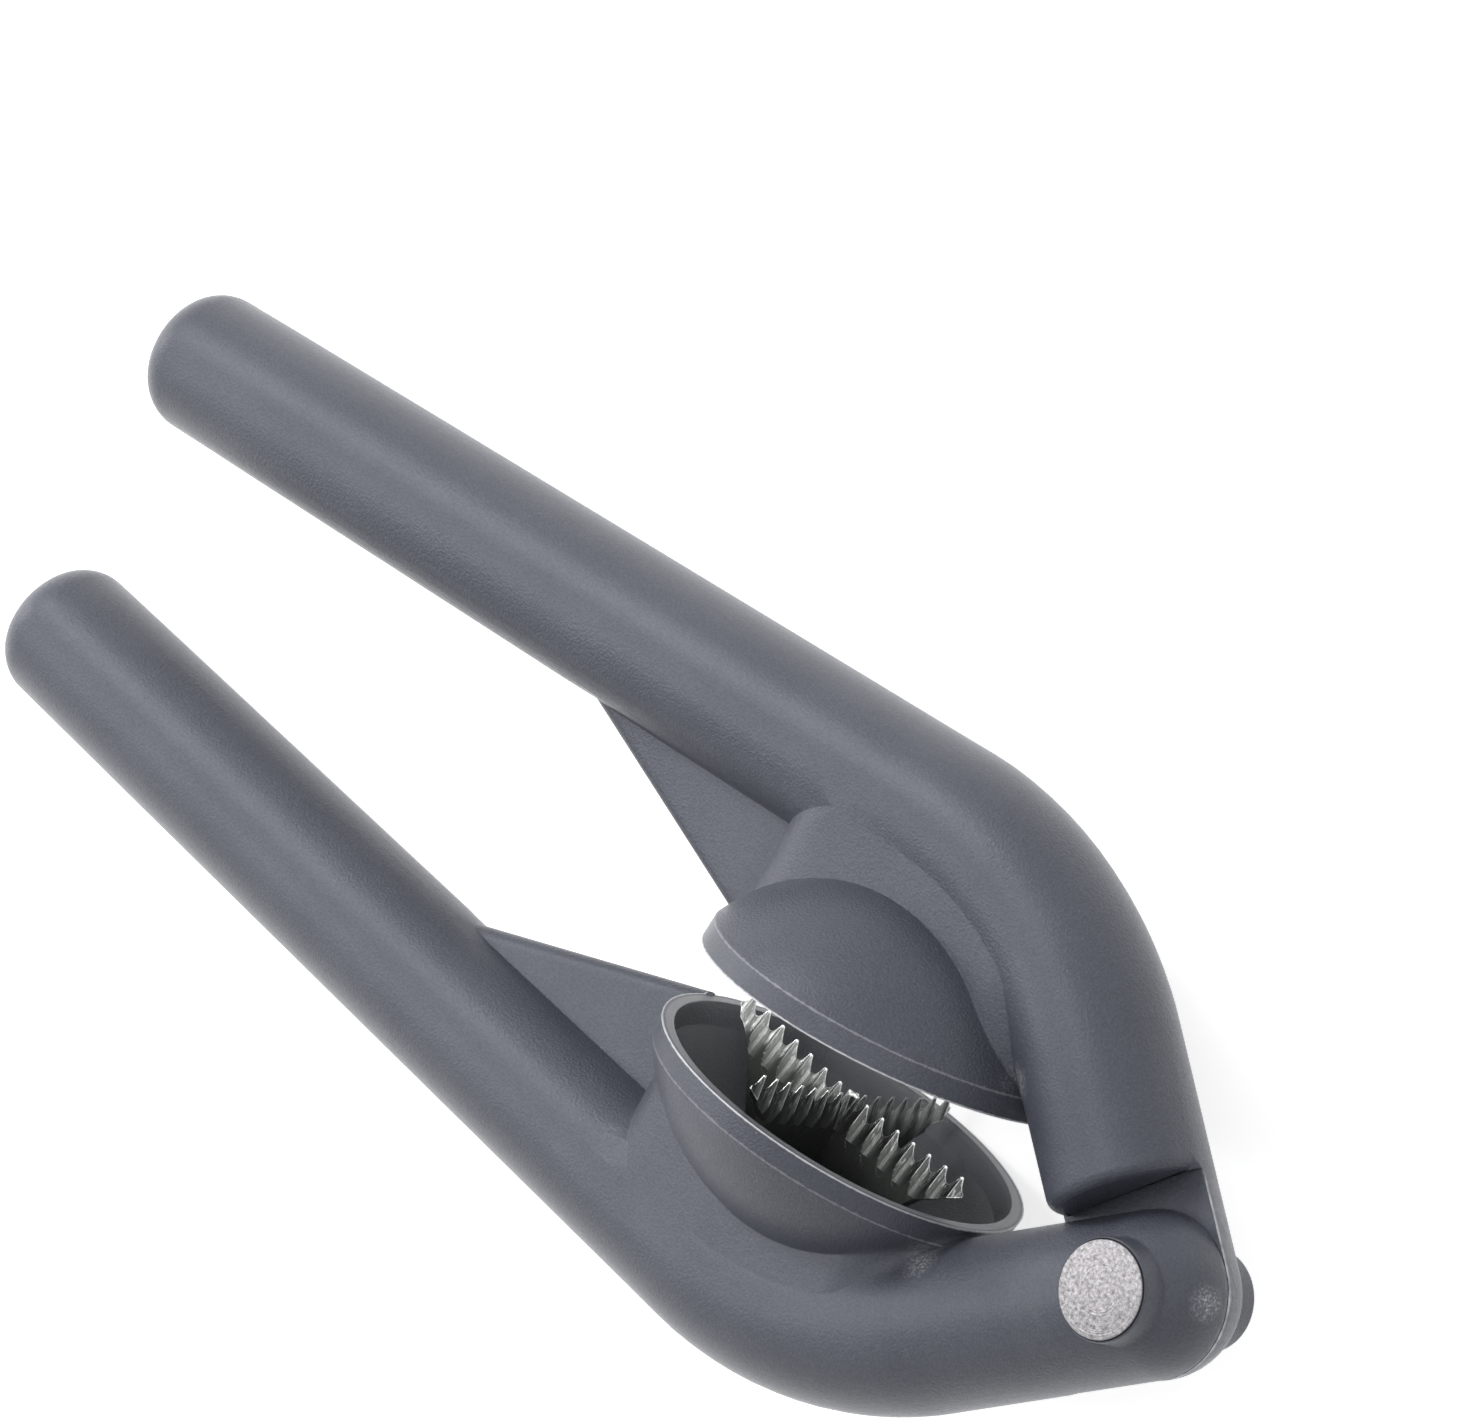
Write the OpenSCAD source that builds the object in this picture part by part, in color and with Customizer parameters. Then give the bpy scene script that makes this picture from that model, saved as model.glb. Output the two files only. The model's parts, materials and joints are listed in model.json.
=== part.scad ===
// Chestnut cutter: two matching cast arms hinged on one plain pin. Each arm carries a
// round shallow jaw on a short post, and the lower cup holds two crossed toothed blades.
// Millimetres, +Z up. The tool lies on its side as on a table. The origin is on the
// table under the middle of its outline, and +X runs from the hinge to the handles.

/* [Bar] */
// radius of the round bar at the hinge and the bend
bar_r = 8.6; // [6:0.1:11]
// angle of each arm from the middle line where it leaves the hinge
arm_spread = 39.9; // [34:0.1:46]
// straight length from the pivot to the start of the bend
hinge_reach = 26.2; // [22:0.1:32]
// centre line radius of the bend
bend_r = 39; // [30:0.5:50]
// angle that the bend turns through
bend_sweep = 44.5; // [38:0.5:50]

/* [Handle] */
// length of the tapered handle after the bend
handle_len = 115.1; // [90:0.1:140]
// radius of the handle at its free end
handle_end_r = 7.75; // [5.5:0.05:9.5]
// radius of the rounding round the end face
end_round = 4.4; // [2:0.1:5]

/* [Hinge] */
// radius of the pivot pin
pin_r = 5.1; // [3.5:0.1:6]
// how far each pin end stands proud of the bar
pin_proud = 1.45; // [0.5:0.05:3]
// chamfer on each pin end
pin_chamfer = 0.35; // [0.1:0.05:0.8]
// radial clearance of the pin in the arm that turns on it
pin_clear = 0.05; // [0.02:0.01:0.1]
// gap between the two flat lap faces
lap_gap = 0.12; // [0.06:0.02:0.4]
// extra length that keeps the two shoulders from touching
shoulder_clear = 0.25; // [0.15:0.05:0.6]

/* [Jaws] */
// outside radius of the rim
rim_r = 21.2; // [18:0.1:25]
// distance of the rim centre from the pivot along the middle line
jaw_u = 43; // [38:0.1:48]
// distance of each rim centre from the middle line
jaw_v = 5.2; // [4:0.1:8]
// angle of each rim towards the middle line at the handle side
rim_lean = 3; // [0:0.5:5]
// width of the plain band below the rim
band_depth = 2.5; // [1.5:0.1:4]
// how much the band draws in below the rim
band_draw = 0.3; // [0.1:0.05:0.8]
// depth of the jaw outside, from the rim plane to the crown
bowl_depth = 14.6; // [11:0.1:18]
// thickness of the jaw wall
bowl_wall = 1.5; // [1:0.1:2.5]
// width of the flat lip at the rim
lip_w = 1.4; // [1:0.1:2]

/* [Post and fin] */
// half thickness of the post between jaw and bar
post_half_w = 8.07; // [5:0.05:8.3]
// distance from the jaw axis to the centre of each round end of the post
post_reach = 12.8; // [9:0.1:13]
// thickness of the fin on the handle side of each jaw
fin_w = 3; // [2:0.1:5]
// length of the free edge of the fin along the middle line
fin_len = 27.5; // [20:0.5:36]

/* [Blades] */
// thickness of each blade plate
blade_t = 1.6; // [0.8:0.1:2]
// distance from one tooth tip to the next
tooth_pitch = 2.35; // [1.8:0.05:3]
// depth of the notches between the teeth
tooth_deep = 1.5; // [0.8:0.1:2]
// distance of the first tooth tip from the crossing
first_tooth = 2.1; // [1.6:0.1:3]
// teeth on each side of the crossing on the long blade
long_teeth = 7; // [5:1:7]
// teeth on each side of the crossing on the cross blade
cross_teeth = 7; // [5:1:7]
// height of the tips above the rim plane at the crossing
tip_rise = 2.3; // [1:0.1:3]
// how much higher the tips stand at the ends of a blade
tip_bow = 1.1; // [0:0.1:2]
// how far the side of a blade draws in below the last tooth
side_in = 4.4; // [3:0.1:6]
// height over which the side draws in
side_drop = 3.3; // [2:0.1:5]
// straight height at each end below the last notch
side_land = 0.4; // [0.2:0.1:1]
// half length of the foot that sits in the slot in the jaw floor
foot_half = 6.5; // [4:0.1:8]
// depth of the slot below the jaw floor
slot_deep = 1.1; // [0.6:0.1:1.4]

/* [Hidden] */
$fn = 96;

// where the straight part ends
bend_start_u = hinge_reach * cos(arm_spread);
bend_start_v = hinge_reach * sin(arm_spread);
// centre of the bend
bend_u = bend_start_u + bend_r * sin(arm_spread);
bend_v = bend_start_v - bend_r * cos(arm_spread);
// heading and start of the handle
handle_heading = arm_spread - bend_sweep;
handle_u = bend_u - bend_r * sin(handle_heading);
handle_v = bend_v + bend_r * cos(handle_heading);
// the bend is this much fuller than the bars that run into it
bend_full = 0.05;
// length of bar that runs on inside the bend
bend_into = 0.4;
// the end rounding starts here along the handle
round_start = handle_len - end_round;
end_flat_r = handle_end_r - end_round;
end_u = handle_u + round_start * cos(handle_heading);

// the shoulder sits where the inner corners of the two bars just clear each other
shoulder = bar_r / tan(arm_spread) + shoulder_clear;
pin_half = bar_r + pin_proud;

// the jaw is a band and a part of a sphere whose centre lies outside the rim
band_back_r = rim_r - band_draw;
sphere_off = (bowl_depth * bowl_depth - band_depth * band_depth - band_back_r * band_back_r)
    / (2 * (band_depth - bowl_depth));
sphere_r = bowl_depth + sphere_off;
hollow_r = sphere_r - bowl_wall;
hollow_depth = bowl_depth - bowl_wall;
hollow_back_r = sqrt(hollow_r * hollow_r - (sphere_off + band_depth) * (sphere_off + band_depth));
lip_inner_r = rim_r - lip_w;

// the post runs from inside the jaw wall to the centre line of the bar
post_u = jaw_u + post_reach;
post_hinge_u = jaw_u - post_reach - post_half_w - 1;
post_top_v = handle_v + (post_u + post_half_w - handle_u) * tan(handle_heading);
post_foot_v = jaw_v + 1.4;

// the free edge of the fin leaves the band just below the rim and ends on the handle
fin_from_u = jaw_u + rim_r - 0.5;
fin_from_v = jaw_v;
fin_to_u = jaw_u + rim_r + fin_len;
fin_to_v = fin_from_v + fin_len * 0.34;
fin_heading = atan2(fin_to_v - fin_from_v, fin_to_u - fin_from_u);
// its rounding is this much slimmer than the fin, and runs on into the handle
fin_edge_r = fin_w / 2 - 0.05;
fin_edge_len = fin_len + 8;

// the lying angle that puts both rims and both handle ends on the table
lie_a = end_u - jaw_u;
lie_c = rim_r - end_round;
lie = asin(lie_c / sqrt(lie_a * lie_a + end_flat_r * end_flat_r)) - atan2(end_flat_r, lie_a);
// spread of the rounded handle end seen along the length
end_side = end_flat_r * sqrt(1 - pow(cos(handle_heading) * cos(lie), 2));
reach_x = end_u * cos(lie) + end_side + end_round;
shift_x = (bar_r - reach_x) / 2;
shift_z = jaw_u * sin(lie) + rim_r;

// blade heights along the jaw axis, positive into the cup
knee_t = hollow_depth - 1.6;
foot_t = hollow_depth + slot_deep;
half_lap = 5.5;
notch_clear = 0.03;

// puts a piece from the plane of the tool into the lying position
module laid() {
    translate([shift_x, 0, shift_z])
        rotate([0, lie, 0])
            children();
}

// local frame of the lower jaw: +Z into the cup, +X towards the handles
module in_jaw() {
    translate([jaw_u, jaw_v, 0])
        rotate([0, 0, -rim_lean])
            rotate([-90, 0, 0])
                children();
}

// straight bar from the pivot, with a ball end round the pivot
module bar_start() {
    rotate([0, 0, arm_spread])
        rotate([0, 90, 0])
            rotate_extrude()
                union() {
                    square([bar_r, hinge_reach + bend_into]);
                    intersection() {
                        circle(r = bar_r);
                        translate([0, -bar_r])
                            square([bar_r, bar_r]);
                    }
                }
}

module bar_bend() {
    translate([bend_u, bend_v, 0])
        rotate([0, 0, 90 + handle_heading])
            rotate_extrude(angle = bend_sweep)
                translate([bend_r, 0])
                    circle(r = bar_r + bend_full);
}

// tapered handle with a rounded end
module bar_handle() {
    translate([handle_u, handle_v, 0])
        rotate([0, 0, handle_heading])
            rotate([0, 90, 0])
                rotate_extrude()
                    union() {
                        polygon([
                            [0, -bend_into],
                            [bar_r, -bend_into],
                            [handle_end_r, round_start],
                            [0, round_start]
                        ]);
                        translate([0, round_start])
                            square([end_flat_r, end_round]);
                        translate([end_flat_r, round_start])
                            intersection() {
                                circle(r = end_round);
                                square([end_round, end_round]);
                            }
                    }
}

// outside of the jaw as one solid
module jaw_solid() {
    in_jaw()
        rotate_extrude()
            union() {
                polygon([
                    [0, 0],
                    [rim_r, 0],
                    [band_back_r, band_depth],
                    [0, band_depth]
                ]);
                intersection() {
                    translate([0, -sphere_off])
                        circle(r = sphere_r);
                    translate([0, band_depth])
                        square([rim_r, bowl_depth]);
                }
            }
}

// the space inside the jaw
module jaw_hollow() {
    in_jaw()
        rotate_extrude()
            union() {
                translate([0, -2])
                    square([lip_inner_r, 2]);
                polygon([
                    [0, 0],
                    [lip_inner_r, 0],
                    [hollow_back_r, band_depth],
                    [0, band_depth]
                ]);
                intersection() {
                    translate([0, -sphere_off])
                        circle(r = hollow_r);
                    translate([0, band_depth])
                        square([rim_r, bowl_depth]);
                }
            }
}

// flat sided post between jaw and bar, round at both ends
module post() {
    intersection() {
        translate([0, post_top_v, 0])
            rotate([90, 0, 0])
                linear_extrude(height = post_top_v - post_foot_v)
                    union() {
                        translate([jaw_u - post_reach, -post_half_w])
                            square([2 * post_reach, 2 * post_half_w]);
                        translate([post_u, 0])
                            intersection() {
                                circle(r = post_half_w);
                                translate([0, -post_half_w])
                                    square([post_half_w, 2 * post_half_w]);
                            }
                        translate([jaw_u - post_reach, 0])
                            intersection() {
                                circle(r = post_half_w);
                                translate([-post_half_w, -post_half_w])
                                    square([post_half_w, 2 * post_half_w]);
                            }
                    }
        translate([0, 0, -post_half_w - 1])
            linear_extrude(height = 2 * post_half_w + 2)
                polygon([
                    [post_hinge_u, post_foot_v - 1],
                    [post_u + post_half_w + 1, post_foot_v - 1],
                    [post_u + post_half_w + 1, post_top_v + 1],
                    [bend_u, post_top_v + 1],
                    [bend_start_u, bend_start_v]
                ]);
    }
}

// thin fin from the jaw to the handle, with a rounded free edge
module fin() {
    translate([fin_from_u, fin_from_v, 0])
        rotate([0, 0, fin_heading])
            rotate([0, 90, 0])
                cylinder(r = fin_edge_r, h = fin_edge_len);
    translate([0, 0, -fin_w / 2])
        linear_extrude(height = fin_w)
            polygon([
                [fin_from_u, fin_from_v],
                [fin_to_u, fin_to_v],
                [fin_to_u + 8, fin_to_v + 4],
                [fin_to_u + 8, fin_to_v + 7],
                [post_u, post_top_v],
                [post_u, post_foot_v]
            ]);
}

// one whole casting without its bore
module casting() {
    difference() {
        union() {
            bar_start();
            bar_bend();
            bar_handle();
            post();
            jaw_solid();
            fin();
        }
        jaw_hollow();
        // the half of the bar that the other arm laps over
        rotate([0, 0, arm_spread])
            translate([-bar_r - 2, -bar_r - 2, lap_gap / 2 - bar_r - 2])
                cube([bar_r + 2 + shoulder, 2 * bar_r + 4, bar_r + 2]);
    }
}

// slot in the jaw floor for the foot of a blade
module blade_slot(turn) {
    in_jaw()
        rotate([0, 0, turn])
            translate([-foot_half, -blade_t / 2, half_lap + 2])
                cube([2 * foot_half, blade_t, foot_t - half_lap - 2]);
}

module lower_arm() {
    color([0.13, 0.14, 0.16])
        laid()
            difference() {
                casting();
                translate([0, 0, -bar_r - 2])
                    cylinder(r = pin_r, h = 2 * bar_r + 4);
                blade_slot(0);
                blade_slot(90);
            }
}

module upper_arm() {
    color([0.13, 0.14, 0.16])
        laid()
            rotate([180, 0, 0])
                difference() {
                    casting();
                    translate([0, 0, -bar_r - 2])
                        cylinder(r = pin_r + pin_clear, h = 2 * bar_r + 4);
                }
}

module pivot_pin() {
    color([0.62, 0.61, 0.62])
        laid()
            translate([0, 0, -pin_half])
                rotate_extrude()
                    polygon([
                        [0, 0],
                        [pin_r - pin_chamfer, 0],
                        [pin_r, pin_chamfer],
                        [pin_r, 2 * pin_half - pin_chamfer],
                        [pin_r - pin_chamfer, 2 * pin_half],
                        [0, 2 * pin_half]
                    ]);
}

// height of the tooth tips at a place along a blade, negative above the rim
function tip_at(x, half) = -tip_rise - tip_bow * pow(x / half, 2);

// half of the tooth line, from the crossing to the end of the blade
function tooth_line(count, half) = [
    for (i = [0 : count - 1])
        for (k = [0 : 1])
            let (x = first_tooth + (i + k / 2) * tooth_pitch)
                [x, tip_at(x, half) + k * tooth_deep]
];

// half length of a blade that carries this many teeth a side
function blade_half(count) = first_tooth + (count - 0.5) * tooth_pitch;

// outline of one side of a blade plate, from the teeth down to the foot
function blade_side(count, half, side_t) = concat(
    [[first_tooth - tooth_pitch / 2, tip_at(0, half) + tooth_deep]],
    tooth_line(count, half),
    [[half, side_t], [half - side_in, side_t + side_drop]],
    [[foot_half, knee_t], [foot_half, foot_t]]
);

// flat toothed plate standing in the jaw, along its local X
module blade_plate(count) {
    half = blade_half(count);
    side = blade_side(count, half, tip_at(half, half) + tooth_deep + side_land);
    last = len(side) - 1;
    translate([0, blade_t / 2, 0])
        rotate([90, 0, 0])
            linear_extrude(height = blade_t)
                polygon(concat(side, [for (i = [0 : last]) [-side[last - i][0], side[last - i][1]]]));
}

// blade in the plane of the tool, notched from below for the half lap
module blade_long() {
    color([0.45, 0.46, 0.48])
        laid()
            in_jaw()
                difference() {
                    blade_plate(long_teeth);
                    translate([-blade_t / 2 - notch_clear, -blade_t, half_lap])
                        cube([blade_t + 2 * notch_clear, 2 * blade_t, foot_t]);
                }
}

// blade across the tool, notched from above for the half lap
module blade_cross() {
    color([0.45, 0.46, 0.48])
        laid()
            in_jaw()
                rotate([0, 0, 90])
                    difference() {
                        blade_plate(cross_teeth);
                        translate([-blade_t / 2 - notch_clear, -blade_t, half_lap - foot_t])
                            cube([blade_t + 2 * notch_clear, 2 * blade_t, foot_t]);
                    }
}

lower_arm();
upper_arm();
pivot_pin();
blade_long();
blade_cross();
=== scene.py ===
import bmesh
import bpy
import json
import math
from mathutils import Matrix, Vector


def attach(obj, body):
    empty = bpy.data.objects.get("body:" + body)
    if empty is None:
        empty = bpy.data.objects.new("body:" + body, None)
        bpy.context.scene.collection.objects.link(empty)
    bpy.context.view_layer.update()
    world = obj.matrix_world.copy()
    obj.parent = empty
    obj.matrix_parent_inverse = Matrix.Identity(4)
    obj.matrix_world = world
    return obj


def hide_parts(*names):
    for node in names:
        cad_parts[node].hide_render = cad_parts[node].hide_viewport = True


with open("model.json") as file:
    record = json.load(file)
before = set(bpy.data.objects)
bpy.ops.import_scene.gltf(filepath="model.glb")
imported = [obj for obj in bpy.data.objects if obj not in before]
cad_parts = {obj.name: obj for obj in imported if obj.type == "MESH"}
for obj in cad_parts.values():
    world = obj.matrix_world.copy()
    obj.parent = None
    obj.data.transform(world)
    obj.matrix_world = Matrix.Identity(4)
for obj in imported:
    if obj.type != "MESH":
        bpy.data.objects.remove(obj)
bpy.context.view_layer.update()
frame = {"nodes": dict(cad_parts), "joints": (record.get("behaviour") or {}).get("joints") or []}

# The two arms
# Each arm is one casting of light metal: round bar, cup, post, fin and lap ear in one piece.
# The castings are blasted and get a dark grey coat, which wears bright along the cup rims.
MM = 0.001
BAR_LEAN = math.radians(39.9)
BAR_RADIUS = 8.6
LAP_ROOM = 0.25
LAP_ROUND = 1.5
NEAR_FACE = 0.02
LAP_LEVEL = 0.1
ARC_EDGE = math.radians(60)
MERGE = 0.00001
SLIVER = 0.00007
SMOOTH_UP_TO = math.radians(13)
PIN_STEPS = 96
hinge = frame["joints"][0]
pivot = Vector(hinge["pos_m"])
face_normal = -Vector(hinge["axis"]).normalized()
lean = math.asin(face_normal.x)

# from the flat plane of the tool, in millimetres from the pivot, to the place it lies in
lay_down = Matrix.Translation(pivot) @ Matrix.Rotation(lean, 4, "Y") @ Matrix.Scale(MM, 4)
turn_over = Matrix.Rotation(math.pi, 4, "X")

# from a cup, with its axis along Z and the handles along X, to the plane of the tool
cup_place = Matrix.Translation((43, 5.2, 0)) @ Matrix.Rotation(math.radians(-3), 4, "Z")
cup_place = cup_place @ Matrix.Rotation(math.radians(-90), 4, "X")


def cast_skin(name, node, body, arm_place):
    """The casting as one closed skin, smooth except along its real edges."""
    skin = frame["nodes"][node].data.copy()
    made = bmesh.new()
    made.from_mesh(skin)
    bmesh.ops.remove_doubles(made, verts=made.verts, dist=MERGE)
    bmesh.ops.dissolve_degenerate(made, dist=SLIVER, edges=made.edges)

    # the arc where the thick bar ends at the lap is rounded off
    facing = Matrix.Rotation(-BAR_LEAN, 4, "Z") @ arm_place.inverted()
    shoulder = BAR_RADIUS / math.tan(BAR_LEAN) + LAP_ROOM
    arc = []
    for edge in made.edges:
        ends = [facing @ vert.co for vert in edge.verts]
        on_face = all(abs(end.x - shoulder) < NEAR_FACE and end.z < LAP_LEVEL for end in ends)
        if on_face and edge.calc_face_angle(0) > ARC_EDGE:
            arc.append(edge)
    rounded = bmesh.ops.bevel(
        made, geom=arc, offset=LAP_ROUND * MM, segments=5,
        profile=0.5, affect="EDGES", material=-1,
    )
    # its two ends stay on the bar, clear of the other arm
    for vert in rounded["verts"]:
        spot = facing @ vert.co
        spot.x = max(spot.x, shoulder)
        vert.co = facing.inverted() @ spot
    bmesh.ops.remove_doubles(made, verts=rounded["verts"], dist=3 * MERGE)

    # the coat stands as a thin collar round the end of the pin: its radii and heights
    collar = (5.12, 6.0), (5.12, 9.7), (5.16, 9.78), (5.26, 9.7), (5.34, 9.5), (5.4, 6.0)
    ring = [made.verts.new((radius, 0, height)) for radius, height in collar]
    sides = [made.edges.new(pair) for pair in zip(ring, ring[1:] + ring[:1])]
    bmesh.ops.spin(
        made, geom=ring + sides, cent=(0, 0, 0), axis=(0, 0, 1),
        angle=math.tau, steps=PIN_STEPS, use_merge=True,
    )
    tube = {face for vert in ring for face in vert.link_faces}
    while True:
        wider = {near for face in tube for edge in face.edges for near in edge.link_faces}
        if wider <= tube:
            break
        tube |= wider
    bmesh.ops.recalc_face_normals(made, faces=list(tube))
    tube_verts = list({vert for face in tube for vert in face.verts})
    bmesh.ops.transform(made, matrix=arm_place, verts=tube_verts)

    for face in made.faces:
        face.smooth = True
    for edge in made.edges:
        edge.smooth = edge.calc_face_angle(0) < SMOOTH_UP_TO
    made.to_mesh(skin)
    made.free()
    skin.materials.clear()
    piece = bpy.data.objects.new(name, skin)
    bpy.context.scene.collection.objects.link(piece)
    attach(piece, body)
    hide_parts(node)
    return piece


def cast_grit():
    """Grain and slow change of tone of a blasted and coated casting, from a place in metres."""
    group = bpy.data.node_groups.new("cast_grit", "ShaderNodeTree")
    group.interface.new_socket("Place", in_out="INPUT", socket_type="NodeSocketVector")
    group.interface.new_socket("Height", in_out="OUTPUT", socket_type="NodeSocketFloat")
    group.interface.new_socket("Tone", in_out="OUTPUT", socket_type="NodeSocketFloat")
    nodes, links = group.nodes, group.links
    start = nodes.new("NodeGroupInput")
    end = nodes.new("NodeGroupOutput")
    parts = []
    for scale, detail, share in ((3600, 3, 0.95), (1100, 2, 0.1)):
        grain = nodes.new("ShaderNodeTexNoise")
        grain.inputs["Scale"].default_value = scale
        grain.inputs["Detail"].default_value = detail
        links.new(start.outputs["Place"], grain.inputs["Vector"])
        weigh = nodes.new("ShaderNodeMath")
        weigh.operation = "MULTIPLY"
        weigh.inputs[1].default_value = share
        links.new(grain.outputs["Fac"], weigh.inputs[0])
        parts.append(weigh)
    both = nodes.new("ShaderNodeMath")
    links.new(parts[0].outputs[0], both.inputs[0])
    links.new(parts[1].outputs[0], both.inputs[1])
    links.new(both.outputs[0], end.inputs["Height"])
    cloud = nodes.new("ShaderNodeTexNoise")
    cloud.inputs["Scale"].default_value = 90
    cloud.inputs["Detail"].default_value = 5
    links.new(start.outputs["Place"], cloud.inputs["Vector"])
    links.new(cloud.outputs["Fac"], end.inputs["Tone"])
    return group


def ring_mask(nodes, links, place, radius, height, width, broken):
    """One thin worn ring round a cup, broken up by noise. Returns its last node."""
    split = nodes.new("ShaderNodeSeparateXYZ")
    links.new(place, split.inputs[0])
    flat = nodes.new("ShaderNodeCombineXYZ")
    links.new(split.outputs["X"], flat.inputs["X"])
    links.new(split.outputs["Y"], flat.inputs["Y"])
    reach = nodes.new("ShaderNodeVectorMath")
    reach.operation = "LENGTH"
    links.new(flat.outputs[0], reach.inputs[0])
    spot = nodes.new("ShaderNodeCombineXYZ")
    links.new(reach.outputs["Value"], spot.inputs["X"])
    links.new(split.outputs["Z"], spot.inputs["Y"])
    away = nodes.new("ShaderNodeVectorMath")
    away.operation = "DISTANCE"
    away.inputs[1].default_value = (radius, height, 0)
    links.new(spot.outputs[0], away.inputs[0])
    noise = nodes.new("ShaderNodeTexNoise")
    noise.inputs["Scale"].default_value = 1.6
    noise.inputs["Detail"].default_value = 4
    links.new(place, noise.inputs["Vector"])
    rough = nodes.new("ShaderNodeMath")
    rough.operation = "MULTIPLY_ADD"
    rough.inputs[1].default_value = broken * width
    links.new(noise.outputs["Fac"], rough.inputs[0])
    links.new(away.outputs["Value"], rough.inputs[2])
    ring = nodes.new("ShaderNodeMapRange")
    ring.inputs["From Min"].default_value = width * (1 + broken * 0.5)
    ring.inputs["From Max"].default_value = width * (0.4 + broken * 0.5)
    links.new(rough.outputs[0], ring.inputs["Value"])
    return ring


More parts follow.
